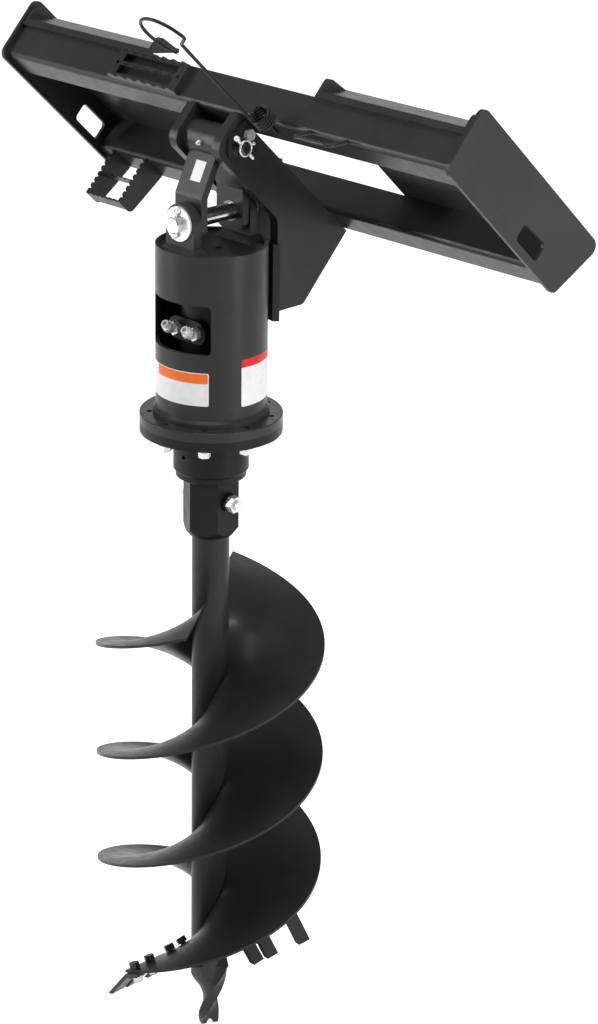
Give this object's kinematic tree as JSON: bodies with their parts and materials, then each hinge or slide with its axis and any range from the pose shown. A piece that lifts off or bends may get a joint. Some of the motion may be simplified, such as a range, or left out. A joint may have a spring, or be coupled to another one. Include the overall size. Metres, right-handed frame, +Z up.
{
  "type": "earth auger drive",
  "caption": "Hydraulic earth auger drive on a loader quick-attach frame, hung from a swinging knuckle, with a double-flighted digging auger.",
  "frame": {"origin": "middle of the coupler face that the loader's quick-attach plate bears on, as the drive hangs in the picture", "axes": "+X along the frame to the right as seen from the auger side, +Y towards the loader, +Z up"},
  "size_m": [1.2, 0.6937, 2.1816],
  "materials": {
    "black_paint": "satin",
    "spring_wire": "satin",
    "zinc": "bright zinc",
    "bronze": "plain",
    "gear_steel": "ground",
    "motor_iron": "painted black",
    "seal_rubber": "matt",
    "black_oxide": "black oxide"
  },
  "bodies": {
    "frame": {"left_end_plate": "black_paint", "right_end_plate": "black_paint", "upper_channel": "black_paint", "lower_channel": "black_paint", "left_coupler_plate": "black_paint", "right_coupler_plate": "black_paint", "left_hook_lip": "black_paint", "right_hook_lip": "black_paint", "hook_gussets": "black_paint", "lock_ledges": "black_paint", "left_boom_plate": "black_paint", "right_boom_plate": "black_paint", "cradle_saddle": "black_paint", "upper_step": "black_paint", "lower_step": "black_paint", "hose_tie_loop": "black_paint", "hose_arm_coil": "spring_wire", "swing_pin": "black_oxide", "keeper_plate": "black_paint", "keeper_bolt": "zinc", "lynch_pin": "zinc"},
    "hose_arm": {"hose_arm": "spring_wire"},
    "knuckle": {"knuckle_tube": "black_paint", "knuckle_bushes": "bronze", "front_strap": "black_paint", "rear_strap": "black_paint", "strap_bushes": "zinc", "grease_fitting": "zinc"},
    "drive": {"drive_housing": "black_paint", "top_plate": "black_paint", "front_lug": "black_paint", "rear_lug": "black_paint", "tilt_pin": "zinc", "tilt_pin_washers": "zinc", "cotter_pins": "zinc", "hydraulic_motor": "motor_iron", "port_block": "motor_iron", "hose_adapters": "zinc", "housing_flange": "black_paint", "gearbox_nose": "motor_iron", "flange_bolts": "zinc", "gearbox_cover": "motor_iron", "ring_gear": "gear_steel", "output_bearings": "gear_steel", "shaft_seal": "seal_rubber"},
    "sun": {"sun_gear": "gear_steel"},
    "auger": {"output_carrier": "gear_steel", "hex_hub": "black_paint", "hub_bolt": "zinc", "auger_pipe": "black_paint", "first_flight": "black_paint", "second_flight": "black_paint", "digging_teeth": "black_paint", "tooth_bolts": "black_oxide", "tooth_nuts": "zinc", "pilot_bit": "black_paint"},
    "planet_1": {"planet_gear_1": "gear_steel"},
    "planet_2": {"planet_gear_2": "gear_steel"},
    "planet_3": {"planet_gear_3": "gear_steel"}
  },
  "joints": [
    {"name": "swing", "type": "hinge", "parent": "frame", "child": "knuckle", "pos_m": [0, -0.20911, 0.02293], "axis": [-1, 0, 0], "range_deg": [0, 100]},
    {"name": "tilt", "type": "hinge", "parent": "knuckle", "child": "drive", "pos_m": [0, -0.20911, -0.12407], "axis": [0, 1, 0], "range_deg": [-6, 6]},
    {"name": "auger_spin", "type": "hinge", "parent": "drive", "child": "auger", "pos_m": [0, -0.20911, -0.57707], "axis": [0, 0, 1], "continuous": true},
    {"name": "sun_spin", "type": "hinge", "parent": "drive", "child": "sun", "pos_m": [0, -0.20911, -0.47707], "axis": [0, 0, 1], "continuous": true},
    {"name": "hose_arm_flex", "type": "hinge", "parent": "frame", "child": "hose_arm", "pos_m": [0.1579, -0.26677, 0.10277], "axis": [1, 0, 0], "range_deg": [-12, 12], "stiffness_Nm_per_rad": 12},
    {"name": "planet_1_spin", "type": "hinge", "parent": "auger", "child": "planet_1", "pos_m": [0, -0.15961, -0.48707], "axis": [0, 0, 1], "continuous": true},
    {"name": "planet_2_spin", "type": "hinge", "parent": "auger", "child": "planet_2", "pos_m": [-0.04287, -0.23386, -0.48707], "axis": [0, 0, 1], "continuous": true},
    {"name": "planet_3_spin", "type": "hinge", "parent": "auger", "child": "planet_3", "pos_m": [0.04287, -0.23386, -0.48707], "axis": [0, 0, 1], "continuous": true}
  ],
  "couplings": [
    {"joint": "sun_spin", "follows": "auger_spin", "ratio": 4.4},
    {"joint": "planet_1_spin", "follows": "auger_spin", "ratio": -2.8333},
    {"joint": "planet_2_spin", "follows": "auger_spin", "ratio": -2.8333},
    {"joint": "planet_3_spin", "follows": "auger_spin", "ratio": -2.8333}
  ]
}
